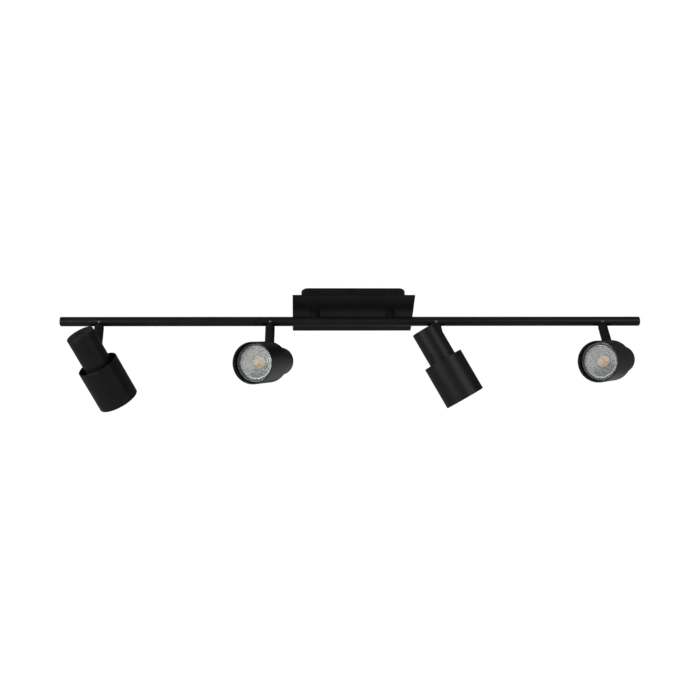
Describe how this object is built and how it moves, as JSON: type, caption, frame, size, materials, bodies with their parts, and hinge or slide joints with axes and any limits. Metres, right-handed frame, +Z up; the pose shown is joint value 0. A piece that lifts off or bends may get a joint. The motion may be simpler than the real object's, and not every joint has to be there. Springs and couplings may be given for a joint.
{
  "type": "ceiling spotlight bar",
  "caption": "Ceiling spotlight bar: a flat rectangular canopy carries a round bar with cylindrical swivelling spotlights on short arms.",
  "frame": {"origin": "centre of the canopy's ceiling face", "axes": "+Z up into the ceiling, X along the bar, Y across it with the screw heads on the -Y side"},
  "size_m": [0.8, 0.1312, 0.1647],
  "materials": {
    "black_coat": "satin",
    "zinc_steel": "satin",
    "nickel": "polished",
    "dark_steel": "satin",
    "brass": "satin",
    "rubber": "matte",
    "white_nylon": "matte",
    "wire_sheath": "gloss",
    "ceramic": "matte",
    "lamp_shell": "satin",
    "phosphor": "matte",
    "lamp_glass": "gloss"
  },
  "bodies": {
    "root": {"canopy_box": "black_coat", "canopy_plate": "black_coat", "ceiling_bracket": "zinc_steel", "terminal_block": "white_nylon", "inlet_grommet": "rubber", "earth_screw": "brass", "side_screws": "black_coat", "standoffs": "black_coat", "standoff_nuts": "nickel", "bar_tube": "black_coat", "bar_caps": "black_coat", "bar_wires": "wire_sheath", "swing_screws": "nickel"},
    "hinge_1": {"hinge_block_1": "black_coat"},
    "arm_1": {"arm_1": "black_coat", "tilt_pin_1": "nickel"},
    "head_1": {"housing_1": "black_coat", "back_cap_1": "black_coat", "collar_1": "black_coat", "head_screws_1": "dark_steel", "lamp_holder_1": "ceramic", "lamp_body_1": "lamp_shell", "lamp_led_1": "phosphor", "lamp_lens_1": "lamp_glass"},
    "hinge_2": {"hinge_block_2": "black_coat"},
    "arm_2": {"arm_2": "black_coat", "tilt_pin_2": "nickel"},
    "head_2": {"housing_2": "black_coat", "back_cap_2": "black_coat", "collar_2": "black_coat", "head_screws_2": "dark_steel", "lamp_holder_2": "ceramic", "lamp_body_2": "lamp_shell", "lamp_led_2": "phosphor", "lamp_lens_2": "lamp_glass"},
    "hinge_3": {"hinge_block_3": "black_coat"},
    "arm_3": {"arm_3": "black_coat", "tilt_pin_3": "nickel"},
    "head_3": {"housing_3": "black_coat", "back_cap_3": "black_coat", "collar_3": "black_coat", "head_screws_3": "dark_steel", "lamp_holder_3": "ceramic", "lamp_body_3": "lamp_shell", "lamp_led_3": "phosphor", "lamp_lens_3": "lamp_glass"},
    "hinge_4": {"hinge_block_4": "black_coat"},
    "arm_4": {"arm_4": "black_coat", "tilt_pin_4": "nickel"},
    "head_4": {"housing_4": "black_coat", "back_cap_4": "black_coat", "collar_4": "black_coat", "head_screws_4": "dark_steel", "lamp_holder_4": "ceramic", "lamp_body_4": "lamp_shell", "lamp_led_4": "phosphor", "lamp_lens_4": "lamp_glass"}
  },
  "joints": [
    {"name": "swing_1", "type": "hinge", "parent": "root", "child": "hinge_1", "pos_m": [-0.3465, 0, -0.0373], "axis": [0, -1, 0], "range_deg": [-21.5, 18.5]},
    {"name": "pan_1", "type": "hinge", "parent": "hinge_1", "child": "arm_1", "pos_m": [-0.3465, 0, -0.0373], "axis": [-0.0262, 0, 0.9997], "range_deg": [-328.5, 21.5]},
    {"name": "tilt_1", "type": "hinge", "parent": "arm_1", "child": "head_1", "pos_m": [-0.3453, 0, -0.08298], "axis": [0.8946, -0.4462, 0.0234], "range_deg": [-38, 27]},
    {"name": "swing_2", "type": "hinge", "parent": "root", "child": "hinge_2", "pos_m": [-0.1142, 0, -0.0373], "axis": [0, -1, 0], "range_deg": [-19, 21]},
    {"name": "pan_2", "type": "hinge", "parent": "hinge_2", "child": "arm_2", "pos_m": [-0.1142, 0, -0.0373], "axis": [0.0175, 0, 0.9998], "range_deg": [-152.5, 197.5]},
    {"name": "tilt_2", "type": "hinge", "parent": "arm_2", "child": "head_2", "pos_m": [-0.115, 0, -0.08299], "axis": [-0.9237, 0.3827, 0.0161], "range_deg": [-30, 35]},
    {"name": "swing_3", "type": "hinge", "parent": "root", "child": "hinge_3", "pos_m": [0.1142, 0, -0.0373], "axis": [0, -1, 0], "range_deg": [-27, 13]},
    {"name": "pan_3", "type": "hinge", "parent": "hinge_3", "child": "arm_3", "pos_m": [0.1142, 0, -0.0373], "axis": [-0.1219, 0, 0.9925], "range_deg": [-312.5, 37.5]},
    {"name": "tilt_3", "type": "hinge", "parent": "arm_3", "child": "head_3", "pos_m": [0.11977, 0, -0.08266], "axis": [0.7318, -0.6756, 0.0899], "range_deg": [-11, 54]},
    {"name": "swing_4", "type": "hinge", "parent": "root", "child": "hinge_4", "pos_m": [0.3465, 0, -0.0373], "axis": [0, -1, 0], "range_deg": [-23.5, 16.5]},
    {"name": "pan_4", "type": "hinge", "parent": "hinge_4", "child": "arm_4", "pos_m": [0.3465, 0, -0.0373], "axis": [-0.061, 0, 0.9981], "range_deg": [-134.5, 215.5]},
    {"name": "tilt_4", "type": "hinge", "parent": "arm_4", "child": "head_4", "pos_m": [0.34929, 0, -0.08291], "axis": [-0.759, 0.6494, -0.0464], "range_deg": [-36.5, 28.5]}
  ]
}
